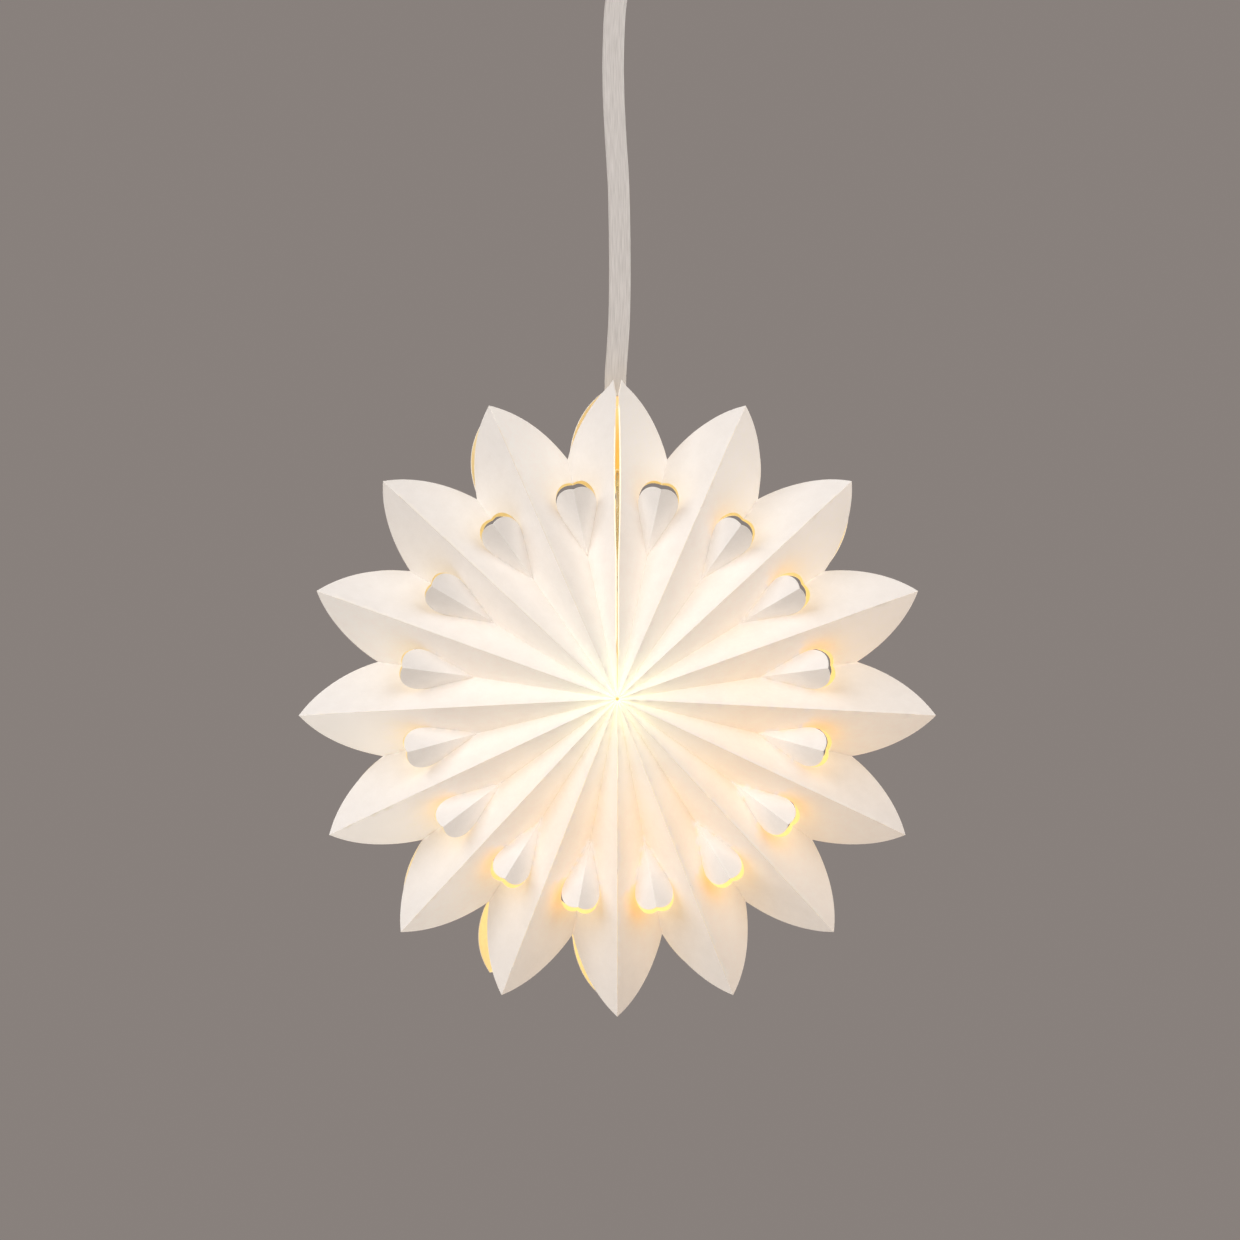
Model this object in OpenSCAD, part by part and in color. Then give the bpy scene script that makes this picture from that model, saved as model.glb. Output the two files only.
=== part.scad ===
/* [Star] */
// Centre to petal tip
star_r = 145; // [135:1:155]
// Centre to rim notch
notch_r = 112; // [108:1:116]
// Half depth at the poles
pole_depth = 44; // [40:1:48]
// Half depth at the petal tips
tip_depth = 24; // [20:1:28]
// Half depth at the rim notches
notch_depth = 3; // [3:0.5:5]
// How far the petals sag towards the bottom, in degrees
sag = 3.2; // [0:0.1:4]
// Radius of the curved petal edges
edge_r = 59; // [50:1:80]
// Paper thickness
paper_t = 0.4; // [0.3:0.05:0.5]

/* [Windows] */
// Pole to the drop's point, along the valley
drop_point = 70; // [66:1:74]
// Pole to the drop's round end, along the valley
drop_end = 107; // [104:1:108]
// Radius of the drop's round end
drop_r = 13; // [11:0.5:14]
// Widest part of the crescent cut out round the tongue's end
crescent_w = 2.6; // [2:0.2:3.6]

/* [Seam] */
// Widest opening of the slit between the end panels
slit_w = 2.3; // [1.4:0.1:3]
// Hook-and-loop dot diameter
dot_d = 7; // [5:0.5:7]

/* [Ribbon] */
// Ribbon width
ribbon_w = 10; // [8:0.5:12]
// Ribbon thickness
ribbon_t = 0.8; // [0.6:0.1:1]
// Bore of the loop at the ribbon's top end
loop_bore = 12; // [8:1:16]

/* [Light] */
// Battery case width
case_w = 35; // [35:0.5:37]
// Battery case depth
case_d = 14; // [14:0.5:15]
// Battery case height
case_h = 59; // [58:0.5:61]
// Case wall thickness
case_wall = 1.4; // [1.2:0.1:1.6]
// Diffuser globe diameter
globe_d = 27; // [26:0.5:28]
// Wire thickness of the hanger
wire_d = 1.4; // [1:0.1:1.6]

/* [Hidden] */
$fn = 48;
petals = 16;
CLOCK = [for (k = [1 : petals - 2]) str(k < 10 ? "0" : "", k)];
PANELS = ["front_left", "front_right", "back_left", "back_right"];

FRONT = -1;
BACK = 1;
star_z = -340;            // star centre below the ribbon loop
ridge_gap = 0.35;         // facet edge to the ridge line, in the facet
seam_gap = 0.6;           // the same at the open seam
seam_slope = 0.65;        // distance from the seam plane per mm across the end panel
hinge_gap = 1;            // moving panel to its crease
tongue_gap = 1.2;         // moving tongue halves to each other
crease_gap = 0.3;         // flat paper to a crease, which is a round bead
bead_r = 0.42;
bead_start = 2;           // beads to the drop's point
hinge_bead_start = 4.5;   // the same on panels that fold together
strip_past = 3.4;         // the gap runs on this far past the crease's end
point_gap = 0.8;          // tongue to the drop's point
hinge_round_gap = 0.6;    // moving tongue to the drop's round end
pole_hole = 2.5;          // the facets end this far from the pole
flange_w = 3;             // glue flange along each ridge
flange_in = 9;            // where the flange starts and how far short of the tip it ends
flange_out = 8;
flange_x = 0.05;          // glued flange face to the ridge plane
flange_sink = 0.3;        // top of the flange below the ridge line
seam_flange_in = 20;
seam_flange_sink = 1.2;
seam_flange_x = 0.9;      // flange face to the seam plane
slit_in = 62;             // the slit's ends, along the ridge
slit_out = 142;
dot_t = 0.8;
dot_x = 0.1;              // dot face to the seam plane
dot_r_pos = 45;           // dots from the centre line
dot_sink = 5.2;           // dots below the ridge line
web_w = 7;                // rim web between the front and back sheets
web_near = 0.3;           // half web to the seam modules' valley
web_in = 1.6;             // web to the notch
web_clear = 0.55;         // web to the front sheet
paper = [0.97, 0.93, 0.88];
case_top = 47;            // light, above the star centre
hanger_hole = 104;
card_top = 139;
card_t = 0.8;
cell_d = 10.5;
cell_l = 44.5;
cell_z = 1.6;             // cells' lower ends, above the star centre
board_z = -9.2;           // circuit board, above the star centre
neck_r = 4.4;             // globe neck
neck_h = 1.6;
globe_wall = 1;
cover_t = 1.4;
cover_gap = 0.15;

// Route of the ribbon's middle line from the hanger card up to the loop
route = [
    [-1, 0, -201], [-0.8, 0, -190], [0.2, 0, -176], [0.9, 0, -162], [1.1, 0, -148],
    [1.1, 0, -134], [0.9, 0, -118], [0.5, 0, -103], [-0.1, 0, -92], [-0.7, 0, -83],
    [-1.2, 0, -74], [-1.6, 0, -66], [-1.9, 0, -56], [-2, 0, -46], [-1.7, 0, -34],
    [-1.1, 0, -22], [0, 0, -13], [0, 0, -7]];

// ---- directions and places ----
function unit(v) = v / norm(v);
function ridge_angle(k) = k * 360 / petals + sag * sin(k * 360 / petals);
function valley_angle(k) = (ridge_angle(k) + ridge_angle(k + 1)) / 2;
function spot(r, angle, depth, face) = [r * sin(angle), face * depth, r * cos(angle)];
function pole(face) = [0, face * pole_depth, 0];
function ridge_depth(r) = pole_depth - (pole_depth - tip_depth) * r / star_r;
function valley_depth(r) = pole_depth - (pole_depth - notch_depth) * r / notch_r;
function notch(k, face) = spot(notch_r, valley_angle(k), notch_depth, face);
function tip(j, face) = spot(star_r, ridge_angle(j), tip_depth, face);
// A facet lies between valley k and ridge j. Its x runs along the valley from the pole.
function facet_x(k, face) = unit(notch(k, face) - pole(face));
function facet_tip_x(k, j, face) = (tip(j, face) - pole(face)) * facet_x(k, face);
function facet_rise(k, j, face) = tip(j, face) - pole(face) - facet_tip_x(k, j, face) * facet_x(k, face);
function facet_y(k, j, face) = unit(facet_rise(k, j, face));
function facet_tip(k, j, face) = [facet_tip_x(k, j, face), norm(facet_rise(k, j, face))];
function valley_length(k, face) = norm(notch(k, face) - pole(face));
function drop_reach() = drop_end - drop_r - drop_point;
function drop_angle() = asin(drop_r / drop_reach());
function drop_side() = drop_reach() * cos(drop_angle()) * [cos(drop_angle()), sin(drop_angle())];
function crease(k, j, face) =
    cos(drop_angle()) * facet_x(k, face) + sin(drop_angle()) * facet_y(k, j, face);
function drop_start(k, face) = pole(face) + drop_point * facet_x(k, face);

module on_star() {
    translate([0, 0, star_z]) children();
}

module on_facet(k, j, face) {
    x = facet_x(k, face);
    y = facet_y(k, j, face);
    n = cross(x, y);
    p = pole(face);
    multmatrix([
        [x[0], y[0], n[0], p[0]],
        [x[1], y[1], n[1], p[1]],
        [x[2], y[2], n[2], p[2]],
        [0, 0, 0, 1]]) children();
}

// ---- paper ----
// The drop, with its point on the valley line
module drop(round_gap = 0) {
    translate([drop_point, 0]) {
        translate([drop_reach(), 0]) circle(drop_r - round_gap);
        polygon([[0, 0], [drop_side()[0], -drop_side()[1]], drop_side()]);
    }
}

// The drop without the crescent
module tongue_outline(round_gap) {
    intersection() {
        drop(round_gap);
        translate([drop_point + drop_reach() - crescent_w, 0]) {
            circle(drop_r);
            translate([-drop_reach(), -drop_r - 1]) square([drop_reach(), 2 * drop_r + 2]);
        }
    }
}

// A strip along one side crease, as wide as the gap on each side of it
module crease_strip(gap) {
    translate([drop_point, 0]) rotate(drop_angle())
        translate([-1, -gap]) square([norm(drop_side()) + 1 + strip_past, 2 * gap]);
}

// The half of the drop beside the valley line, held off its creases
module half_drop(edge_gap, middle_gap, round_gap) {
    difference() {
        tongue_outline(round_gap);
        translate([0, middle_gap - 2 * drop_r]) square([star_r, 2 * drop_r]);
        translate([drop_point, 0]) circle(point_gap);
        crease_strip(edge_gap);
    }
}

// A round bead along a crease, in the frame of a facet
module bead(angle, start, end) {
    rotate(angle) translate([start, 0, 0]) rotate([0, 90, 0])
        cylinder(r = bead_r, h = end - start, $fn = 16);
}

// Strip along the facet's ridge line that is left off
module ridge_strip(tip2, gap) {
    rotate(atan2(tip2[1], tip2[0])) translate([-5, -gap]) square([star_r + 20, 20]);
}

// The shallow arc that opens the slit between two end panels
module slit_cut(tip2) {
    depth = slit_w / 2 / seam_slope - seam_gap;
    half = (slit_out - slit_in) / 2;
    r = (half * half + depth * depth) / (2 * depth);
    rotate(atan2(tip2[1], tip2[0]))
        translate([(slit_in + slit_out) / 2, r - seam_gap - depth]) circle(r, $fn = 200);
}

// The whole facet: a triangle from the pole and the round petal edge
module facet_outline(k, j, face) {
    tip2 = facet_tip(k, j, face);
    notch2 = [valley_length(k, face), 0];
    out = [(tip2 - notch2)[1], -(tip2 - notch2)[0]] / norm(tip2 - notch2);
    half = norm(tip2 - notch2) / 2;
    polygon([[0, 0], notch2, tip2]);
    intersection() {
        translate((notch2 + tip2) / 2 - out * sqrt(edge_r * edge_r - half * half))
            circle(edge_r, $fn = 120);
        polygon([notch2 - out, tip2 - out, tip2 + out * half, notch2 + out * half]);
    }
}

module facet(k, j, face, valley_gap, ridge_gap, slit) {
    tip2 = facet_tip(k, j, face);
    on_facet(k, j, face) linear_extrude(paper_t, center = true) difference() {
        facet_outline(k, j, face);
        drop();
        crease_strip(crease_gap);
        ridge_strip(tip2, ridge_gap);
        circle(pole_hole);
        translate([-5, -5]) square([star_r, 5 + valley_gap]);
        if (slit) slit_cut(tip2);
    }
}

// The popped tongue half is the half drop mirrored in the plane of the two side creases
module in_tongue(k, face) {
    a = drop_start(k, face);
    translate(a) mirror(cross(crease(k, k, face), crease(k, k + 1, face))) translate(-a) children();
}

module tongue_half(k, j, face, edge_gap, middle_gap, round_gap) {
    in_tongue(k, face) on_facet(k, j, face)
        linear_extrude(paper_t, center = true) half_drop(edge_gap, middle_gap, round_gap);
}

// Flange in the plane of ridge j, on the side of valley k, with its near face x0 from that plane
module flange(k, j, face, x0, sink, outline_tab) {
    side = j == k ? 1 : -1;
    rotate([0, ridge_angle(j), 0])
        translate([side * (x0 + paper_t / 2), 0, 0])
            rotate([0, 90, 0])
                linear_extrude(paper_t, center = true)
                    flange_outline(face, sink, outline_tab);
}

// Drawn with x towards the pole axis and y along the depth
module flange_outline(face, sink, outline_tab) {
    r1 = outline_tab ? seam_flange_in : flange_in;
    r2 = star_r - flange_out;
    polygon([
        [-r1, face * (ridge_depth(r1) - sink)],
        [-r2, face * (ridge_depth(r2) - sink)],
        [-r2, face * (ridge_depth(r2) - sink - flange_w)],
        [-r1, face * (ridge_depth(r1) - sink - flange_w)]]);
    if (outline_tab)
        translate([-dot_r_pos, face * (ridge_depth(dot_r_pos) - dot_sink - 0.5)])
            square([dot_d + 3, dot_d - 0.6], center = true);
}

// The web that ties the front and back sheets together at a rim notch, from x1 to x2 across it
module rim_web(k, x1, x2) {
    r = notch_r - web_in;
    d = valley_depth(r);
    slope = (ridge_depth(r) - d) / (r * sin(180 / petals));
    middle = (x1 + x2) / 2;
    rotate([0, valley_angle(k), 0]) translate([0, 0, r]) linear_extrude(paper_t, center = true)
        polygon(concat(
            [for (x = [x1, middle, x2]) [x, web_clear - d - slope * abs(x)]],
            [for (x = [x2, middle, x1]) [x, d + slope * abs(x)]]));
}

// Beads on the valley beside the drop
module valley_beads(k, j, face) {
    on_facet(k, j, face) bead(0, pole_hole + 1, drop_point - 1);
    on_facet(k, j, face) bead(0, drop_end + 1, valley_length(k, face) - 1);
}

module side_bead(k, j, face, start) {
    on_facet(k, j, face) translate([drop_point, 0, 0])
        bead(drop_angle(), start, norm(drop_side()) - 1);
}

module module_sheet(k, face) {
    color(paper) on_star() union() {
        for (j = [k, k + 1]) {
            facet(k, j, face, crease_gap, ridge_gap, false);
            tongue_half(k, j, face, crease_gap, crease_gap, 0);
            side_bead(k, j, face, bead_start);
            flange(k, j, face, flange_x, flange_sink, false);
        }
        valley_beads(k, k, face);
        in_tongue(k, face) on_facet(k, k, face)
            bead(0, drop_point + bead_start, drop_end - crescent_w - 1);
        if (face == BACK) rim_web(k, -web_w / 2, web_w / 2);
    }
}

// The end modules are the first and the last. Right is k = 0, left is k = petals - 1.
function end_valley(right) = right ? 0 : petals - 1;
function seam_ridge(right) = right ? 0 : petals;
function inner_ridge(right) = right ? 1 : petals - 1;

module fixed_panel(right, face) {
    k = end_valley(right);
    color(paper) on_star() union() {
        facet(k, inner_ridge(right), face, crease_gap, ridge_gap, false);
        flange(k, inner_ridge(right), face, flange_x, flange_sink, false);
        valley_beads(k, inner_ridge(right), face);
        side_bead(k, inner_ridge(right), face, hinge_bead_start);
        if (face == BACK && right) rim_web(k, web_near, web_w / 2);
        if (face == BACK && !right) rim_web(k, -web_w / 2, -web_near);
    }
}

module end_panel(right, face) {
    k = end_valley(right);
    color(paper) on_star() union() {
        facet(k, seam_ridge(right), face, hinge_gap, seam_gap, face == FRONT);
        flange(k, seam_ridge(right), face, seam_flange_x, seam_flange_sink, true);
        side_bead(k, seam_ridge(right), face, hinge_bead_start);
    }
}

module tongue_inner(right, face) {
    color(paper) on_star()
        tongue_half(end_valley(right), inner_ridge(right), face, hinge_gap, tongue_gap, hinge_round_gap);
}

module tongue_outer(right, face) {
    color(paper) on_star()
        tongue_half(end_valley(right), seam_ridge(right), face, hinge_gap, tongue_gap, hinge_round_gap);
}

// ---- seam closure ----
module seam_dot(right, face) {
    side = right ? 1 : -1;
    on_star()
        translate([side * (dot_x + dot_t / 2), face * (ridge_depth(dot_r_pos) - dot_sink), dot_r_pos])
            rotate([0, 90, 0]) cylinder(d = dot_d, h = dot_t, center = true);
}

module hook_dot(face) {
    color("whitesmoke") seam_dot(false, face);
}

module loop_dot(face) {
    color("gainsboro") seam_dot(true, face);
}

// ---- hanger card, ribbon and loop ----
// Half of the card's outline, from its bottom up. The arm's end rests on the web at the first notch.
function card_side(side) =
    let (a = valley_angle(0), end = (notch_r - web_in - paper_t / 2) * [sin(a), cos(a)],
         across = 2 * [cos(a), -sin(a)])
    [for (p = [
        [5, hanger_hole - 3.5], end + across, end - across, [7.2, hanger_hole + 2.5],
        [8, hanger_hole + 6], [6.5, card_top]]) [side * p[0], p[1]]];

module hanger_card() {
    right = card_side(1);
    left = card_side(-1);
    color("ivory") on_star() rotate([90, 0, 0]) linear_extrude(card_t, center = true) difference() {
        polygon(concat(right, [for (i = [len(left) - 1 : -1 : 0]) left[i]]));
        translate([0, hanger_hole]) circle(d = 2 * wire_d + 0.4);
        translate([0, card_top - 5]) square([ribbon_w + 0.6, 1.6], center = true);
    }
}

// One ring of the flat ribbon tube: eight points round a flat section
function ribbon_ring(i) =
    let (a = route[max(i - 1, 0)], b = route[min(i + 1, len(route) - 1)], d = unit(b - a),
         side = unit(cross([0, 1, 0], d)), w = ribbon_w / 2, t = ribbon_t / 2)
    [for (s = [[1, 0.5], [0.96, 1], [-0.96, 1], [-1, 0.5], [-1, -0.5], [-0.96, -1], [0.96, -1], [1, -0.5]])
        route[i] + side * w * s[0] + [0, 1, 0] * t * s[1]];

module ribbon() {
    n = len(route);
    points = [for (i = [0 : n - 1]) each ribbon_ring(i)];
    walls = [for (i = [0 : n - 2], s = [0 : 7])
        [i * 8 + s, i * 8 + (s + 1) % 8, (i + 1) * 8 + (s + 1) % 8, (i + 1) * 8 + s]];
    ends = [[for (s = [0 : 7]) 7 - s], [for (s = [0 : 7]) (n - 1) * 8 + s]];
    color("gainsboro") polyhedron(points, concat(walls, ends));
}

module ribbon_loop() {
    color("gainsboro") rotate([0, 90, 0]) difference() {
        cylinder(r = loop_bore / 2 + ribbon_t, h = ribbon_w, center = true);
        cylinder(r = loop_bore / 2, h = ribbon_w + 2, center = true);
    }
}

// ---- light ----
module wire_ring(z, r) {
    translate([0, 0, z]) rotate([0, 90, 0]) rotate_extrude() translate([r, 0]) circle(d = wire_d);
}

module light_hanger() {
    ring_r = 3.2;
    upper = hanger_hole - ring_r;
    lower = case_top + 5;
    color("silver") on_star() union() {
        wire_ring(upper, ring_r);
        wire_ring(lower, ring_r);
        translate([0, 0, lower + ring_r]) cylinder(d = wire_d, h = upper - lower - 2 * ring_r);
    }
}

module light_case() {
    eye_z = case_top + 2.4;
    color("white") on_star() difference() {
        union() {
            translate([-case_w / 2, -case_d / 2, case_top - case_h]) cube([case_w, case_d, case_h]);
            translate([-3.5, -1, case_top - 0.5]) cube([7, 2, 3]);
            translate([0, 1, eye_z]) rotate([90, 0, 0]) cylinder(d = 7, h = 2);
        }
        // eye for the wire
        translate([0, 3, eye_z + 0.2]) rotate([90, 0, 0]) cylinder(d = 2 * wire_d + 0.4, h = 6);
        // battery bay, open at the back
        translate([-case_w / 2 + case_wall, -case_d / 2 + case_wall, cell_z - 2])
            cube([case_w - 2 * case_wall, case_d, case_top - case_wall - cell_z + 2]);
        // rebate for the sliding cover
        translate([-case_w / 2 + 0.6, case_d / 2 - cover_t - cover_gap, cell_z - 4])
            cube([case_w - 1.2, case_d, case_top - cell_z + 10]);
        // board bay, open below
        translate([-case_w / 2 + case_wall, -case_d / 2 + case_wall, case_top - case_h - 1])
            cube([case_w - 2 * case_wall, case_d - 2 * case_wall - cover_t, 10]);
        // slot for the switch
        translate([-case_w / 2 - 1, -1.5, case_top - case_h + 3.4]) cube([4, 3, 4.4]);
    }
}

module battery_cover() {
    z0 = cell_z - 4 + cover_gap;
    w = case_w - 1.2 - 2 * cover_gap;
    color("whitesmoke") on_star() union() {
        translate([-w / 2, case_d / 2 - cover_t, z0]) cube([w, cover_t, case_top - z0]);
        for (i = [0 : 3]) translate([-6, case_d / 2 - 0.1, z0 + 4 + 1.8 * i]) cube([12, 0.5, 0.8]);
    }
}

module battery_cells() {
    color("dimgray") on_star() for (i = [-1 : 1]) translate([i * (cell_d + 0.1), -0.2, cell_z]) {
        cylinder(d = cell_d - 0.2, h = cell_l - 1.5);
        translate([0, 0, cell_l - 1.6]) cylinder(d = 3.8, h = 1);
    }
}

module battery_contacts() {
    color("goldenrod") on_star() for (i = [-1 : 1]) translate([i * (cell_d + 0.1), -0.2, 0]) {
        translate([-4, -4, cell_z - 1.95]) cube([8, 8, 0.4]);
        translate([0, 0, cell_z - 1.6]) cylinder(d1 = 7, d2 = 4, h = 1.5);
    }
}

module circuit_board() {
    color("seagreen") on_star()
        translate([-14, -case_d / 2 + case_wall + 0.3, board_z]) cube([28, 8.5, 1.2]);
}

module led() {
    color("lightyellow") on_star() translate([0, -1, 0]) {
        translate([0, 0, board_z - 1]) cylinder(d = 5.8, h = 1);
        translate([0, 0, board_z - 4.6]) cylinder(d = 5, h = 3.7);
        translate([0, 0, board_z - 4.6]) sphere(d = 5);
    }
}

module diffuser_globe() {
    neck_z = case_top - case_h;
    drop = sqrt(globe_d * globe_d / 4 - neck_r * neck_r) + 0.1;
    color("ivory", 0.8) on_star() difference() {
        union() {
            translate([0, -1, neck_z - drop]) sphere(d = globe_d);
            translate([0, -1, neck_z - 2]) cylinder(r = neck_r, h = neck_h + 2);
            // flange that closes the board bay
            translate([-case_w / 2 + case_wall + 0.2, -case_d / 2 + case_wall + 0.2, neck_z])
                cube([case_w - 2 * case_wall - 0.4, case_d - 2 * case_wall - cover_t - 0.4, 1.2]);
        }
        translate([0, -1, neck_z - drop]) sphere(d = globe_d - 2 * globe_wall);
        translate([0, -1, neck_z - 4]) cylinder(r = neck_r - globe_wall, h = neck_h + 5);
    }
}

module switch_slider() {
    color("dimgray") on_star() translate([-case_w / 2 - 0.9, -1.25, case_top - case_h + 3.6]) {
        translate([0.3, 0, 0]) cube([1.6, 2.5, 2]);
        translate([2.3 + 0.15, -1, -0.8]) cube([0.8, 4.5, 3.6]);
        translate([1.8, 0, 0]) cube([0.8, 2.5, 2]);
        for (i = [0 : 2]) translate([0, 0, 0.2 + 0.65 * i]) cube([0.5, 2.5, 0.35]);
    }
}

// ---- output ----
for (k = [1 : petals - 2]) {
    module_sheet(k, FRONT);
    module_sheet(k, BACK);
}
for (p = PANELS) {
    right = p == "front_right" || p == "back_right";
    face = p == "front_left" || p == "front_right" ? FRONT : BACK;
    fixed_panel(right, face);
    end_panel(right, face);
    tongue_inner(right, face);
    tongue_outer(right, face);
}
hook_dot(FRONT);  // front_hook_dot
loop_dot(FRONT);  // front_loop_dot
hook_dot(BACK);  // back_hook_dot
loop_dot(BACK);  // back_loop_dot
hanger_card();
ribbon();
ribbon_loop();
light_hanger();
light_case();
battery_cover();
battery_cells();
battery_contacts();
circuit_board();
led();
diffuser_globe();
switch_slider();
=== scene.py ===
import math
import random

import bmesh
import bpy
from mathutils import Matrix, Vector, noise
from mathutils.geometry import delaunay_2d_cdt


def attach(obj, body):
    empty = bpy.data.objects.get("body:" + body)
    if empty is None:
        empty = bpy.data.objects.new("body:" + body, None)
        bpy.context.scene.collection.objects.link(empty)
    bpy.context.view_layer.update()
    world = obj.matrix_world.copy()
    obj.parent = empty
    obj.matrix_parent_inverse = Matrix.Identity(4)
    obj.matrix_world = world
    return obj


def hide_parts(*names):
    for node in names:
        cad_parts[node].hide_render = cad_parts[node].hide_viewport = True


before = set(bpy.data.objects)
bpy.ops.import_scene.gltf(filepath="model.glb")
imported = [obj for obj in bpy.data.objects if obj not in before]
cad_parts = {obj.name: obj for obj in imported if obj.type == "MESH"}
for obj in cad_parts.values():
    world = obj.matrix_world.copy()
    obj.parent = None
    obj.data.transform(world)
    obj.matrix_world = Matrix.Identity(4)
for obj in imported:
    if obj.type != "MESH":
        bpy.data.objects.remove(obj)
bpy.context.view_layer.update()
random.seed(7)
MM = 0.001

# ---------- the star's sizes, in mm, the same as the CAD part ----------
PETALS, STAR_R, NOTCH_R = 16, 145.0, 112.0
POLE_D, TIP_D, NOTCH_D, SAG = 44.0, 24.0, 3.0, 3.2
EDGE_R, STAR_Z = 59.0, -340.0                   # radius of a petal's curved edge; height of the star's centre
DROP_POINT, DROP_END, DROP_R = 70.0, 107.0, 13.0
REACH = DROP_END - DROP_R - DROP_POINT
PHI = math.asin(DROP_R / REACH)
SIDE_LEN = REACH * math.cos(PHI)
CRESCENT = 2.6                                  # widest part of the gap round a tongue's end
CLOSE_CUT = 0.8                                 # how much of the crescent the left tongues close
FRONT, BACK = -1, 1
FLANGE_W, FLANGE_IN, SEAM_FLANGE_IN, FLANGE_OUT = 3.0, 9.0, 20.0, 8.0
DOT_POS, DOT_TAB, DOT_HALF = 45.0, 5.8, 6.2     # the seam flange is deeper where a dot sits on it
POLE_HOLE = 0.9                                 # the facets end this far from the pole
RIDGE_GAP = 0.05
SEAM_GAP, SEAM_SLOPE, SLIT_W, SLIT_IN, SLIT_OUT = 0.6, 0.65, 2.3, 62.0, 142.0
BACK_SEAM_GAP = 0.3                             # the back seam is closed
TIP_PART, TIP_PART_LEN = 2.3, 9.0               # how far the front seam's tips part, and over what length
WEB_IN, WEB_HALF, WEB_BULGE = 1.6, 3.5, 0.4
PAPER_T = 0.36
GRID, TONGUE_GRID = 2.5, 2.6                    # spacing of the mesh points on a facet and on a tongue
MERGE, SHARP = 0.03, math.radians(14)           # points to join, and the fold that counts as a crease
BORDER_GLOW = (0.12, 0.09, 0.05)                # lamp light on flanges and webs, seen from outside

# the back petals' slip: the radius where it starts, the length it grows over, and where it has
# faded, in degrees from the ridge
SLIP_FROM, SLIP_OVER, SLIP_HALF = 82.0, 32.0, 11.2
# how far each back petal's tip has slipped round from the front one, in degrees, as judged
BACK_SLIP = [-1.7, 0.9, 1.4, 0.5, 0.2, -0.4, 0.3, 0.9, 1.9, 3.4, 1.0, 0.5, -0.3, 0.4, -0.5, -2.0]


def ridge_angle(k):
    return k * 360 / PETALS + SAG * math.sin(math.radians(k * 360 / PETALS))


def valley_angle(k):
    return (ridge_angle(k) + ridge_angle(k + 1)) / 2


def spot(r, angle, depth, face):
    a = math.radians(angle)
    return Vector((r * math.sin(a), face * depth, r * math.cos(a)))


def pole(face):
    return Vector((0, face * POLE_D, 0))


def ridge_depth(r):
    return POLE_D - (POLE_D - TIP_D) * r / STAR_R


def valley_depth(r):
    return POLE_D - (POLE_D - NOTCH_D) * r / NOTCH_R


class Facet:
    """One flat half of a valley-folded sheet. x runs along the valley from the pole, y towards the ridge."""

    def __init__(self, k, j, face):
        self.k, self.j, self.face = k, j, face
        self.p = pole(face)
        notch = spot(NOTCH_R, valley_angle(k), NOTCH_D, face) - self.p
        tip = spot(STAR_R, ridge_angle(j), TIP_D, face) - self.p
        self.x = notch.normalized()
        self.length = notch.length
        rise = tip - tip.dot(self.x) * self.x
        self.y = rise.normalized()
        self.tip = Vector((tip.dot(self.x), rise.length))
        self.n = self.x.cross(self.y)
        if self.n.y * face < 0:
            self.n = -self.n
        self.tip_angle = math.atan2(self.tip.y, self.tip.x)
        self.crease = math.cos(PHI) * self.x + math.sin(PHI) * self.y
        # the tongues on the left side are cut closer, so their windows show no gap
        left = smooth((-math.sin(math.radians(valley_angle(k))) - 0.5) / 0.25) if face == FRONT else 0
        self.crescent = CRESCENT * (1 - CLOSE_CUT * left)
        self.horn = math.acos(-self.crescent / 2 / DROP_R)  # where the tongue's outline leaves the window's

    def at(self, u, v, h=0.0):
        return self.p + self.x * u + self.y * v + self.n * h


def steps(a, b, n):
    return [a + (b - a) * i / n for i in range(n + 1)]


def arc_points(radius, a0, a1, n):
    return [(DROP_POINT + REACH + radius * math.cos(a), radius * math.sin(a))
            for a in steps(a0, a1, n)]


def smooth(t):
    t = min(max(t, 0.0), 1.0)
    return t * t * (3 - 2 * t)


def seam_offset(s, length, face):
    """How far an end panel's free edge stands off the ridge line: the slit, and the parted tips."""
    if face == BACK:
        return BACK_SEAM_GAP
    mid, half = (SLIT_IN + SLIT_OUT) / 2, (SLIT_OUT - SLIT_IN) / 2
    depth = SLIT_W / 2 / SEAM_SLOPE - SEAM_GAP
    bow = max(0.0, 1 - ((s - mid) / half) ** 2)
    part = TIP_PART * smooth((s - length + TIP_PART_LEN) / TIP_PART_LEN)
    return SEAM_GAP + depth * bow + part


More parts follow.
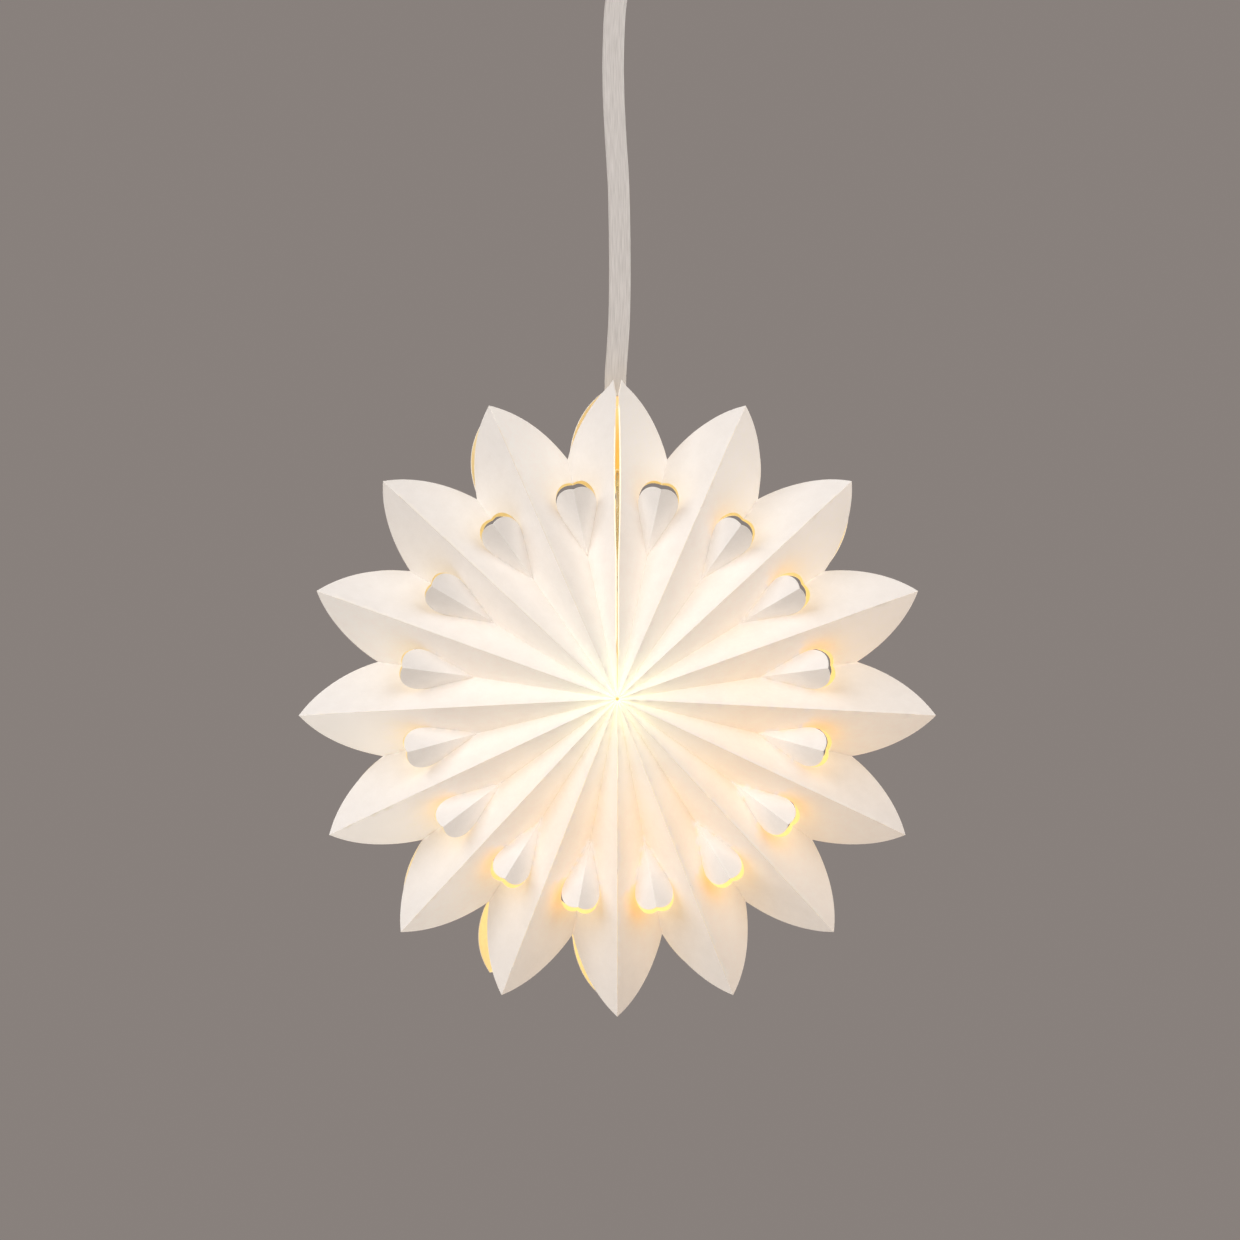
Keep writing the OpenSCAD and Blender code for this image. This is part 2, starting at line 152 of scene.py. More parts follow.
def facet_loop(f, seam=False):
    """The facet's outline: valley, window, valley, petal edge, ridge.
    Returns the points, where the ridge's points start, and how many they are."""
    pts = [(u, 0.0) for u in steps(POLE_HOLE, DROP_POINT, 22)]
    c, s = math.cos(PHI), math.sin(PHI)
    pts += [(DROP_POINT + c * t, s * t) for t in steps(0, SIDE_LEN, 9)[1:]]
    pts += arc_points(DROP_R, math.pi / 2 + PHI, f.horn, 5)[1:]
    pts += arc_points(DROP_R, f.horn, 0, 16)[1:]
    pts += [(u, 0.0) for u in steps(DROP_END, f.length, 5)[1:]]
    a, b = Vector((f.length, 0)), f.tip
    half = (b - a).length / 2
    out = Vector(((b - a).y, -(b - a).x)).normalized()
    centre = (a + b) / 2 - out * math.sqrt(EDGE_R ** 2 - half ** 2)
    a0 = math.atan2(a.y - centre.y, a.x - centre.x)
    a1 = math.atan2(b.y - centre.y, b.x - centre.x)
    edge = [(centre.x + EDGE_R * math.cos(t), centre.y + EDGE_R * math.sin(t)) for t in steps(a0, a1, 16)]
    total = f.tip.length
    ridge_dir = f.tip.normalized()
    inward = Vector((ridge_dir.y, -ridge_dir.x))
    ridge = []
    for along in steps(total, POLE_HOLE, 44):
        gap = seam_offset(along, total, f.face) if seam else RIDGE_GAP * (0.3 + 0.7 * smooth(along / 50))
        gap = min(gap, along * math.tan(f.tip_angle) * 0.4)
        ridge.append(tuple(ridge_dir * along + inward * gap))
    # the petal's edge ends where the ridge line begins
    first = Vector(ridge[0])
    limit = -((first - f.tip).dot(inward)) + 1e-6
    pts += [e for e in edge[1:]
            if (Vector(e) - f.tip).dot(-inward) < limit and (Vector(e) - first).length > 0.5]
    start = len(pts)
    pts += ridge
    return pts, start, len(ridge)


def drop_gap(u, v):
    """How far a point of the facet stands outside the drop-shaped window."""
    du = u - DROP_POINT
    along = du * math.cos(PHI) + v * math.sin(PHI)
    if along < 0:
        return math.hypot(du, v)
    if along < SIDE_LEN:
        return max(0.0, v * math.cos(PHI) - du * math.sin(PHI))
    return max(0.0, math.hypot(du - REACH, v) - DROP_R)


def tongue_loop(f):
    """The drop's half without the crescent cut out round its end."""
    pts = [(u, 0.0) for u in steps(DROP_POINT, DROP_END - f.crescent, 14)]
    pts += [(u - f.crescent, v) for u, v in arc_points(DROP_R, 0, math.pi - f.horn, 16)][1:-1]
    pts += arc_points(DROP_R, f.horn, math.pi / 2 + PHI, 5)
    c, s = math.cos(PHI), math.sin(PHI)
    pts += [(DROP_POINT + c * t, s * t) for t in reversed(steps(0, SIDE_LEN, 9)[1:-1])]
    return pts


def inside(p, loop):
    x, y = p
    hit = False
    for (x1, y1), (x2, y2) in zip(loop, loop[1:] + loop[:1]):
        if (y1 > y) != (y2 > y) and x < (x2 - x1) * (y - y1) / (y2 - y1) + x1:
            hit = not hit
    return hit


def near(p, loop, gap):
    return min((p[0] - q[0]) ** 2 + (p[1] - q[1]) ** 2 for q in loop) < gap * gap


def fill(loop, grid):
    """Triangles that fill a 2D outline, with an even grid of points inside it."""
    us = [p[0] for p in loop]
    vs = [p[1] for p in loop]
    extra, row = [], 0
    v = min(vs) + grid * 0.6
    while v < max(vs):
        u = min(us) + (grid / 2 if row % 2 else 0)
        while u < max(us):
            if inside((u, v), loop) and not near((u, v), loop, grid * 0.62):
                extra.append((u, v))
            u += grid
        v += grid * 0.87
        row += 1
    coords = [Vector(p) for p in loop] + [Vector(p) for p in extra]
    verts, _, faces, _, _, _ = delaunay_2d_cdt(coords, [], [list(range(len(loop)))], 1, 1e-5)
    return [tuple(v) for v in verts], faces


def slip_back(p, face):
    """Turns the back petals' outer ends round a little, each by its own amount."""
    if face == FRONT:
        return p
    r = math.hypot(p.x, p.z)
    w = smooth((r - SLIP_FROM) / SLIP_OVER)
    if w <= 0:
        return p
    a = math.degrees(math.atan2(p.x, p.z)) % 360
    best = min(range(PETALS), key=lambda j: abs((a - ridge_angle(j) + 180) % 360 - 180))
    off = abs((a - ridge_angle(best) + 180) % 360 - 180)
    turn = math.radians(BACK_SLIP[best] * w * max(0.0, 1 - (off / SLIP_HALF) ** 3))
    c, s = math.cos(turn), math.sin(turn)
    return Vector((p.x * c + p.z * s, p.y, -p.x * s + p.z * c))


def wobble(p, scale, seed):
    return noise.noise(Vector((p.x * scale + seed, p.y * scale, p.z * scale - seed)))


def bell(d, width):
    return math.exp(-(d / width) ** 2)


LAMP = Vector((0, -1, -25))                     # about where the lamp hangs, from the star's centre
# colours of the light painted on the paper: the lamp's, and CREAM for painted room light
SUNNY, PEACH = Vector((0.95, 0.95, 0.36)), Vector((1.0, 0.78, 0.60))
CREAM = Vector((1.0, 0.98, 0.90))
GOLD, AMBER = Vector((1.0, 0.56, 0.16)), Vector((1.0, 0.46, 0.12))


def lit_side(p):
    """1 towards the lower right, where the room's light doesn't reach and the lamp shows most."""
    r = math.hypot(p.x, p.z) or 1
    return 0.5 + 0.5 * (0.55 * p.x - 0.83 * p.z) / r


def glow_outside(p, shade, arc, turn):
    """Painted light on the outside of the paper at p: the lamp's light through the paper, amber patches of
    the lamp's light from each window's gap, and painted room light on outer facets turned from the lights.
    shade is 1 on facets turned from the room's light. arc is the distance from the window's round end, and
    turn the angle round that end. The fourth value is how much the base colour is painted orange there."""
    r = math.hypot(p.x, p.z)
    side = lit_side(p)
    mottle = 1 + 0.16 * wobble(p, 0.045, 3.1) + 0.10 * wobble(p, 0.12, 8.7)
    core = 0.22 * bell(r, 16) + 0.07 * bell(r, 42)
    body = 0.065 + 0.04 * shade * side
    belt = 0.15 * bell(r - 60, 42) * (0.35 + 0.85 * side)
    rim = 0.03 * math.exp(-arc / 0.9) * side
    patch = bell(arc, 7.5) * bell(turn - 1.5, 0.75) * (0.08 + 0.92 * side ** 1.5) * (0.12 + 0.88 * shade)
    glow = (SUNNY * (core + rim) + PEACH * body + GOLD * belt) * mottle + AMBER * patch * 0.42
    # painted room light: the outer petals' facets turned from the room's lights are brightened, cream on the
    # left and upper side, peach on the right
    across = p.x / max(r, 1)
    outer = shade * smooth((r - 75) / 45)
    glow += CREAM * outer * (0.14 * (1 - side) ** 2 + 0.16 * min(across, 0) ** 2)
    glow += PEACH * outer * 0.13 * max(across, 0)
    # painted lamp light and shade in the paper's base colour: how much it is tinted orange, in the patches
    # beside the windows and on the lower right's facets turned from the room's light
    painted_warm_tint = patch + 0.22 * smooth((side - 0.45) * 2) * (0.3 + 0.7 * shade) * smooth((r - 25) / 40)
    return (*glow, min(painted_warm_tint, 1.0))


def glow_tongue(p, along):
    """The popped tongues catch little of the lamp: most where they leave the sheet."""
    return PEACH * (0.08 + 0.10 * (1 - along)) * (0.6 + 0.7 * lit_side(p))


def glow_inside(p):
    """Lamp light on the inside of the paper: yellow near the lamp, deeper and dimmer away from it."""
    near_lamp = bell((p - LAMP).length, 95)
    far_light = (AMBER * 0.5 + SUNNY * 0.5) * (1 - near_lamp) * 0.5
    near_light = (SUNNY * 0.6 + AMBER * 0.4) * near_lamp * 0.8
    return (0.6 + 0.4 * lit_side(p)) * (far_light + near_light)


class Sheet:
    """A folded paper piece under construction, in mm about the star's centre."""

    def __init__(self, name):
        self.name = name
        self.bm = bmesh.new()
        self.glow = self.bm.verts.layers.float_color.new("glow")
        self.inner = self.bm.verts.layers.float_color.new("inner_glow")
        self.seed = random.uniform(0, 50)

    def add(self, points, faces, want, glow=None):
        """Adds faces with their front towards want. glow is the light painted at each point: a colour, and
        for a facet also how much the paper's base colour is painted orange there, for lamp light and shade."""
        vs = [self.bm.verts.new(p) for p in points]
        for i, v in enumerate(vs):
            outer = tuple(glow[i]) if glow else BORDER_GLOW
            v[self.glow] = outer if len(outer) == 4 else (*outer, 0.0)
            v[self.inner] = (*glow_inside(v.co), 0.0)
        for tri in faces:
            a, b, c = (points[i] for i in tri[:3])
            normal = (b - a).cross(c - a)
            if normal.length < 1e-9:
                continue
            order = tri if normal.dot(want) > 0 else list(reversed(tri))
            self.bm.faces.new([vs[i] for i in order])

    def facet(self, f, seam=False):
        """One facet, bowed a little between its creases, and its glue flange."""
        loop, start, count = facet_loop(f, seam)
        flat, faces = fill(loop, GRID)
        pts, glow = [], []
        # how far the facet is turned from the room's key light, 1 turned away: the painted light is set by it
        shade = smooth(0.75 * (0.79 * f.n.x - 0.61 * f.n.z) / math.hypot(f.n.x, f.n.z) + 0.25)
        for u, v in flat:
            t = math.atan2(v, u) / f.tip_angle
            r = math.hypot(u, v)
            bow = 4 * t * (1 - t) * smooth(r / 70) * smooth(drop_gap(u, v) / 8)
            h = bow * (0.35 + 0.25 * wobble(f.at(u, v), 0.03, self.seed))
            h += 0.3 * bow * smooth((r - 100) / 45) * wobble(f.at(u, v), 0.02, self.seed + 9)
            pts.append(slip_back(f.at(u, v, h), f.face))
            du = u - DROP_POINT - REACH
            arc = abs(math.hypot(du, v) - DROP_R) if du > -DROP_R * 0.5 else 30.0
            glow.append(glow_outside(pts[-1], shade, arc, math.atan2(v, du)))
        self.add(pts, faces, Vector((0, f.face, 0)), glow)
        ridge = [slip_back(f.at(*p), f.face) for p in loop[start:start + count]]
        self.flange(f, ridge, seam)

    def flange(self, f, ridge, seam):
        """The glue flange, folded in along the ridge line."""
        side = 1 if f.j == f.k else -1
        a = math.radians(ridge_angle(f.j))
        out = Vector((math.cos(a), 0, -math.sin(a))) * side
        top, bottom = [], []
        for p in ridge:
            r = math.hypot(p.x, p.z)
            first = SEAM_FLANGE_IN if seam else FLANGE_IN
            if not first - 2 < r < STAR_R - FLANGE_OUT:
                continue
            ease = min(smooth((r - first + 2) / 4), smooth((STAR_R - FLANGE_OUT - r) / 4))
            depth = FLANGE_W * (0.15 + 0.85 * ease)
            top.append(p)
            if seam:
                depth += DOT_TAB * smooth((DOT_HALF - abs(r - DOT_POS)) / 2.2)
            bottom.append(p - Vector((0, f.face * depth, 0)) + out * (0.0 if seam else 0.02))
        pts = top + bottom
        n = len(top)
        quads = [[i, i + 1, n + i + 1, n + i] for i in range(n - 1)]
        self.add(pts, quads, -out, [glow_inside(p) * 1.2 for p in pts] if seam else None)

    def tongue(self, f, other):
        """The drop's half, folded out: mirrored in the plane of the two side creases."""
        flat, faces = fill(tongue_loop(f), TONGUE_GRID)
        a = f.p + DROP_POINT * f.x
        m = f.crease.cross(other.crease).normalized()
        pts, glow = [], []
        for u, v in flat:
            du, dv = u - DROP_POINT, v
            r = math.hypot(du, dv)
            t = math.atan2(dv, max(du, 1e-6)) / PHI if r > 1e-6 else 0
            bow = max(0.0, 4 * t * (1 - t)) * smooth(r / 20)
            q = f.at(u, v, -0.45 * bow)
            pts.append(q - 2 * (q - a).dot(m) * m)
            glow.append(glow_tongue(pts[-1], min(r / REACH, 1)))
        self.add(pts, faces, Vector((0, f.face, 0)), glow)

    def web(self, k):
        """The small web between the front and back sheets at a rim notch."""
        r = NOTCH_R - WEB_IN
        d = valley_depth(r)
        rise = WEB_HALF * (ridge_depth(r) - d) / (r * math.sin(math.pi / PETALS))
        a = math.radians(valley_angle(k))
        across = Vector((math.cos(a), 0, -math.sin(a)))
        out = Vector((math.sin(a), 0, math.cos(a)))
        pts, quads = [], []
        n = 8
        for s in steps(-WEB_HALF, WEB_HALF, n):
            w = abs(s) / WEB_HALF
            for depth in (-d - rise * w + 0.3, 0.0, d + rise * w):
                bulge = WEB_BULGE * (1 - w * w)
                pts.append(out * (r + bulge) + across * s + Vector((0, depth, 0)))
        for i in range(n):
            for c in range(2):
                quads.append([3 * i + c, 3 * i + c + 1, 3 * i + 4 + c, 3 * i + 3 + c])
        self.add(pts, quads, out)

    def build(self, node, body):
        """Makes the object for a CAD node: sharp creases and cut edges, and the paper's thickness."""
        bm = self.bm
        bmesh.ops.remove_doubles(bm, verts=bm.verts, dist=MERGE)
        bm.normal_update()
        for e in bm.edges:
            e.smooth = len(e.link_faces) == 2 and e.calc_face_angle(0) < SHARP
        for face in bm.faces:
            face.smooth = True
        bmesh.ops.transform(bm, matrix=Matrix.Translation((0, 0, STAR_Z * MM)) @ Matrix.Scale(MM, 4),
                            verts=bm.verts)
        mesh = bpy.data.meshes.new(self.name)
        bm.to_mesh(mesh)
        bm.free()
        obj = bpy.data.objects.new(self.name, mesh)
        bpy.context.scene.collection.objects.link(obj)
        for mat in (PAPER_OUT, PAPER_IN, PAPER_EDGE):
            mesh.materials.append(mat)
        sol = obj.modifiers.new("thickness", "SOLIDIFY")
        sol.thickness = PAPER_T * MM
        sol.offset = -1
        sol.material_offset = 1
        sol.material_offset_rim = 2
        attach(obj, body)
        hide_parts(node)
        return obj


# ---------- materials ----------
class Nodes:
    """A small helper that builds a material's nodes in few lines."""

    def __init__(self, name):
        self.mat = bpy.data.materials.new(name)
        self.mat.use_nodes = True
        self.nt = self.mat.node_tree
        self.bsdf = self.nt.nodes["Principled BSDF"]

    def node(self, kind, **values):
        n = self.nt.nodes.new(kind)
        for key, value in values.items():
            if hasattr(n, key):
                setattr(n, key, value)
            else:
                n.inputs[key.replace("_", " ")].default_value = value
        return n

    def link(self, a, b):
        self.nt.links.new(a, b)

    def coords(self, scale=(1, 1, 1), rotation=(0, 0, 0)):
        tc = self.node("ShaderNodeTexCoord")
        mp = self.node("ShaderNodeMapping")
        mp.inputs["Scale"].default_value = scale
        mp.inputs["Rotation"].default_value = rotation
        self.link(tc.outputs["Object"], mp.inputs["Vector"])
        return mp.outputs["Vector"]

    def noise(self, vector, scale, detail=3, rough=0.5, distortion=0):
        n = self.node("ShaderNodeTexNoise")
        n.inputs["Scale"].default_value = scale
        n.inputs["Detail"].default_value = detail
        n.inputs["Roughness"].default_value = rough
        n.inputs["Distortion"].default_value = distortion
        self.link(vector, n.inputs["Vector"])
        return n.outputs["Fac"]

    def math(self, op, a, b=0.0, clamp=False):
        n = self.node("ShaderNodeMath", operation=op)
        n.use_clamp = clamp
        for i, v in enumerate((a, b)):
            if hasattr(v, "is_output"):
                self.link(v, n.inputs[i])
            else:
                n.inputs[i].default_value = v
        return n.outputs[0]

    def remap(self, v, a, b, c, d):
        n = self.node("ShaderNodeMapRange")
        for i, x in enumerate((v, a, b, c, d)):
            if hasattr(x, "is_output"):
                self.link(x, n.inputs[i])
            else:
                n.inputs[i].default_value = x
        return n.outputs[0]

    def mix(self, fac, a, b, blend="MIX"):
        n = self.node("ShaderNodeMix", data_type="RGBA", blend_type=blend)
        for key, v in ((0, fac), (6, a), (7, b)):
            if hasattr(v, "is_output"):
                self.link(v, n.inputs[key])
            else:
                n.inputs[key].default_value = v if isinstance(v, float) else (*v, 1)
        return n.outputs[2]

    def bump(self, height, strength, distance):
        n = self.node("ShaderNodeBump")
        n.inputs["Strength"].default_value = strength
        n.inputs["Distance"].default_value = distance
        self.link(height, n.inputs["Height"])
        return n.outputs["Normal"]


def paper_material(name, light, dark, layer, strength):
    """Uncoated paper: cloudy formation, crossed fibres, a fine tooth, and the lamp's light through it."""
    m = Nodes(name)
    p = m.coords()
    cloud = m.noise(p, 160, 4, 0.6)
    fibre = m.noise(m.coords((1, 1, 0.12), (0.5, 0.9, 0.3)), 2600, 3, 0.6, 0.8)
    cross = m.noise(m.coords((0.12, 1, 1), (0.2, 0.4, 1.1)), 2300, 3, 0.6, 0.8)
    grain = m.math("MULTIPLY", fibre, cross)
    tone = m.math("ADD", m.remap(cloud, 0.35, 0.65, 0, 0.5), m.remap(grain, 0.15, 0.36, 0, 0.5), True)
    attr = m.node("ShaderNodeAttribute", attribute_name=layer)
    plain = m.mix(tone, dark, light)
    # painted lamp light and shade: the base colour is tinted orange as far as the layer's alpha says
    painted_warm_tint = m.mix(attr.outputs["Alpha"], (1.0, 1.0, 1.0), (0.95, 0.66, 0.34))
    m.link(m.mix(1.0, plain, painted_warm_tint, "MULTIPLY"), m.bsdf.inputs["Base Color"])
    m.bsdf.inputs["Roughness"].default_value = 0.88
    m.bsdf.inputs["Specular IOR Level"].default_value = 0.25
    m.bsdf.inputs["Sheen Weight"].default_value = 0.08
    height = m.math("ADD", grain, m.math("MULTIPLY", cloud, 0.6))
    m.link(m.bump(height, 0.35, 0.00012), m.bsdf.inputs["Normal"])
    through = m.remap(m.noise(p, 420, 4, 0.65), 0.3, 0.7, 0.92, 1.08)
    scaled = m.node("ShaderNodeVectorMath", operation="SCALE")
    m.link(attr.outputs["Color"], scaled.inputs[0])
    m.link(through, scaled.inputs["Scale"])
    m.link(scaled.outputs[0], m.bsdf.inputs["Emission Color"])
    m.bsdf.inputs["Emission Strength"].default_value = strength
    return m.mat


# One paper in three copies: the inside is painted darker and browner, a painted shade, and the cut edges
# lighter with a brighter glow, a painted highlight
PAPER_OUT = paper_material("paper_outer", (0.89, 0.875, 0.85), (0.84, 0.82, 0.79), "glow", 1.0)
PAPER_IN = paper_material("paper_inner_painted_shade", (0.66, 0.60, 0.48), (0.60, 0.53, 0.42), "inner_glow", 1.0)
PAPER_EDGE = paper_material("paper_edge_painted_highlight", (0.95, 0.93, 0.88), (0.90, 0.87, 0.82), "glow", 1.5)


def ribbon_material():
    """Flat woven ribbon: lengthwise ribs, finer cross threads, and streaks along it."""
    m = Nodes("ribbon_weave")
    tc = m.node("ShaderNodeUVMap", uv_map="weave")
    rib = m.node("ShaderNodeTexWave", wave_type="BANDS", bands_direction="X")
    rib.inputs["Scale"].default_value = 9.5
    rib.inputs["Distortion"].default_value = 0.25
    rib.inputs["Detail"].default_value = 2
    m.link(tc.outputs["UV"], rib.inputs["Vector"])
    weft = m.node("ShaderNodeTexWave", wave_type="BANDS", bands_direction="Y")
    weft.inputs["Scale"].default_value = 14
    m.link(tc.outputs["UV"], weft.inputs["Vector"])
    streak = m.node("ShaderNodeTexNoise", Scale=1.0)
    mp = m.node("ShaderNodeMapping")
    mp.inputs["Scale"].default_value = (26, 0.9, 1)
    m.link(tc.outputs["UV"], mp.inputs["Vector"])
    m.link(mp.outputs["Vector"], streak.inputs["Vector"])
    tone = m.math("ADD", m.math("MULTIPLY", rib.outputs["Fac"], 0.3),
                  m.remap(streak.outputs["Fac"], 0.3, 0.7, 0, 0.7), True)
    m.link(m.mix(tone, (0.50, 0.475, 0.45), (0.76, 0.73, 0.70)), m.bsdf.inputs["Base Color"])
    height = m.math("ADD", rib.outputs["Fac"], m.math("MULTIPLY", weft.outputs["Fac"], 0.5))
    m.link(m.bump(height, 0.4, 0.00008), m.bsdf.inputs["Normal"])
    m.bsdf.inputs["Roughness"].default_value = 0.48
    m.bsdf.inputs["Sheen Weight"].default_value = 0.35
    m.bsdf.inputs["Sheen Roughness"].default_value = 0.4
    return m.mat


def moulded(name, colour, rough, grain, coat=0.0):
    """A plain surface with a faint mottle, uneven gloss and a fine grain."""
    m = Nodes(name)
    p = m.coords()
    mott = m.noise(p, 90, 3, 0.6)
    fine = m.noise(p, grain, 2, 0.5)
    dark = tuple(c * 0.93 for c in colour)
    m.link(m.mix(m.remap(mott, 0.3, 0.7, 0, 1), dark, colour), m.bsdf.inputs["Base Color"])
    m.link(m.remap(m.noise(p, 300, 3, 0.6), 0.3, 0.7, rough * 0.85, min(rough * 1.15, 1)),
           m.bsdf.inputs["Roughness"])
    m.link(m.bump(fine, 0.25, 0.00005), m.bsdf.inputs["Normal"])
    m.bsdf.inputs["Coat Weight"].default_value = coat
    return m


RIBBON_MAT = ribbon_material()
CASE_MAT = moulded("case_plastic", (0.80, 0.79, 0.76), 0.45, 3500).mat
SWITCH_MAT = moulded("switch_plastic", (0.05, 0.05, 0.055), 0.5, 3000).mat
CELL_MAT = moulded("cell_wrap", (0.14, 0.16, 0.19), 0.3, 1200, 0.5).mat
BOARD_MAT = moulded("board", (0.03, 0.16, 0.07), 0.4, 2200, 0.3).mat
WIRE = moulded("wire", (0.72, 0.72, 0.72), 0.28, 4000)
WIRE.bsdf.inputs["Metallic"].default_value = 1
BRASS = moulded("contact_brass", (0.80, 0.62, 0.32), 0.35, 2500)
BRASS.bsdf.inputs["Metallic"].default_value = 1
FUZZ = moulded("hook_and_loop", (0.86, 0.86, 0.84), 0.95, 2600)
FUZZ.bsdf.inputs["Sheen Weight"].default_value = 0.6
CARD = moulded("card", (0.80, 0.64, 0.40), 0.85, 1800)
# painted lamp light: the card inside the star is made to glow orange, for the lamp's light falling on it
CARD.bsdf.inputs["Emission Color"].default_value = (0.95, 0.40, 0.03, 1)
CARD.bsdf.inputs["Emission Strength"].default_value = 0.5
GLOBE = moulded("globe_plastic", (0.95, 0.90, 0.80), 0.5, 2400)
GLOBE.bsdf.inputs["Emission Color"].default_value = (1.0, 0.66, 0.30, 1)
GLOBE.bsdf.inputs["Emission Strength"].default_value = 2.5
LED = moulded("led_lens", (1.0, 0.90, 0.70), 0.2, 1500, 0.5)
LED.bsdf.inputs["Emission Color"].default_value = (1.0, 0.74, 0.40, 1)
LED.bsdf.inputs["Emission Strength"].default_value = 20.0

# ---------- camera, straight ahead as in the photograph ----------
scene = bpy.context.scene
scene.view_settings.view_transform = "Standard"
cam_data = bpy.data.cameras.new("camera")
cam = bpy.data.objects.new("camera", cam_data)
scene.collection.objects.link(cam)
cam.location = (0.0012, -1.15, -0.3047)
cam.rotation_euler = (math.radians(90), 0, 0)
cam_data.lens = 71.93
cam_data.sensor_width = 36
cam_data.clip_start = 0.05
cam_data.clip_end = 50
scene.camera = cam

# ---------- ribbon and loop ----------
ROUTE = [
    (-1, 0, -201), (-0.8, 0, -190), (0.2, 0, -176), (0.9, 0, -162), (1.1, 0, -148),
    (1.1, 0, -134), (0.9, 0, -118), (0.5, 0, -103), (-0.1, 0, -92), (-0.7, 0, -83),
    (-1.2, 0, -74), (-1.6, 0, -66), (-1.9, 0, -56), (-2, 0, -46), (-1.7, 0, -34),
    (-1.1, 0, -22), (0, 0, -13), (0, 0, -7)]
RIBBON_W, RIBBON_T = 10.0, 0.55
LOOP_R, LOOP_T, LOOP_STEPS = 6.42, 0.6, 72
RIBS, RIB_H = 44, 0.045


def catmull(points, per):
    """A smooth curve through the points, with per steps between two of them."""
    pts = [Vector(p) for p in points]
    out = []
    for i in range(len(pts) - 1):
        p0, p1, p2, p3 = pts[max(i - 1, 0)], pts[i], pts[i + 1], pts[min(i + 2, len(pts) - 1)]
        for s in range(per):
            t = s / per
            out.append(0.5 * ((2 * p1) + (p2 - p0) * t + (2 * p0 - 5 * p1 + 4 * p2 - p3) * t * t
                              + (3 * p1 - p0 - 3 * p2 + p3) * t * t * t))
    out.append(pts[-1])
    return out


def woven_strip(name, line, face_dir, width, thick, closed=False):
    """A woven ribbon: fine lengthwise ribs, thicker selvedges, and a gentle cockle along its length."""
    bm = bmesh.new()
    uv = bm.loops.layers.uv.new("weave")
    n = len(line)
    run, total = [], 0.0
    for i, p in enumerate(line):
        total += (p - line[i - 1]).length if i else 0
        run.append(total)
    rows = []
    for i, p in enumerate(line):
        ahead = line[min(i + 1, n - 1)] if not closed else line[(i + 1) % n]
        behind = line[max(i - 1, 0)] if not closed else line[i - 1]
        d = (ahead - behind).normalized()
        facing = face_dir(i)
        side = facing.cross(d).normalized()
        normal = d.cross(side).normalized()
        row = []
        for s in range(RIBS + 1):
            w = -1 + 2 * s / RIBS
            edge = smooth((abs(w) - 0.90) / 0.07)
            rib = RIB_H * (1 if s % 2 else -1) * (1 - edge)
            h = thick * (0.5 + 0.35 * edge) + rib
            cockle = 0.10 * math.sin(run[i] * 0.55 + 3 * w) * abs(w)
            row.append((p + side * (w * width / 2), normal, h, cockle))
        rows.append(row)
    last = n if closed else n - 1
    sides = []
    for sign in (1, -1):
        grid = [[bm.verts.new((q + nn * (sign * h + c)) * MM) for q, nn, h, c in row] for row in rows]
        for i in range(last):
            a, b = grid[i], grid[(i + 1) % n]
            next_run = run[i] + (line[(i + 1) % n] - line[i]).length
            for s in range(RIBS):
                quad = [a[s], a[s + 1], b[s + 1], b[s]]
                f = bm.faces.new(quad if sign > 0 else quad[::-1])
                for corner in f.loops:
                    v = corner.vert
                    k = s + (1 if v in (a[s + 1], b[s + 1]) else 0)
                    along = run[i] if v in (a[s], a[s + 1]) else next_run
                    corner[uv].uv = (k / RIBS, along / 10)
        sides.append(grid)
    upper, lower = sides
    for i in range(last):
        for s in (0, RIBS):
            a, b = i, (i + 1) % n
            quad = [upper[a][s], upper[b][s], lower[b][s], lower[a][s]]
            bm.faces.new(quad if s == 0 else quad[::-1])
    if not closed:
        for i in (0, n - 1):
            for s in range(RIBS):
                quad = [upper[i][s], upper[i][s + 1], lower[i][s + 1], lower[i][s]]
                bm.faces.new(quad if i else quad[::-1])
    bmesh.ops.recalc_face_normals(bm, faces=bm.faces)
    for f in bm.faces:
        f.smooth = True
    mesh = bpy.data.meshes.new(name)
    bm.to_mesh(mesh)
    bm.free()
    mesh.materials.append(RIBBON_MAT)
    obj = bpy.data.objects.new(name, mesh)
    scene.collection.objects.link(obj)
    return obj


line = catmull(ROUTE, 7)
ribbon = woven_strip("hanging_ribbon", line, lambda i: Vector((0, 1, 0)), RIBBON_W, RIBBON_T)
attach(ribbon, "root")
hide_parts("ribbon")

turns = [2 * math.pi * i / LOOP_STEPS for i in range(LOOP_STEPS)]
ring = [Vector((0, LOOP_R * math.sin(t), -LOOP_R * math.cos(t))) for t in turns]
loop = woven_strip("hanging_ribbon_loop", ring,
                   lambda i: Vector((0, ring[i].y, ring[i].z)).normalized(), RIBBON_W, LOOP_T, True)
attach(loop, "root")
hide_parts("ribbon_loop")

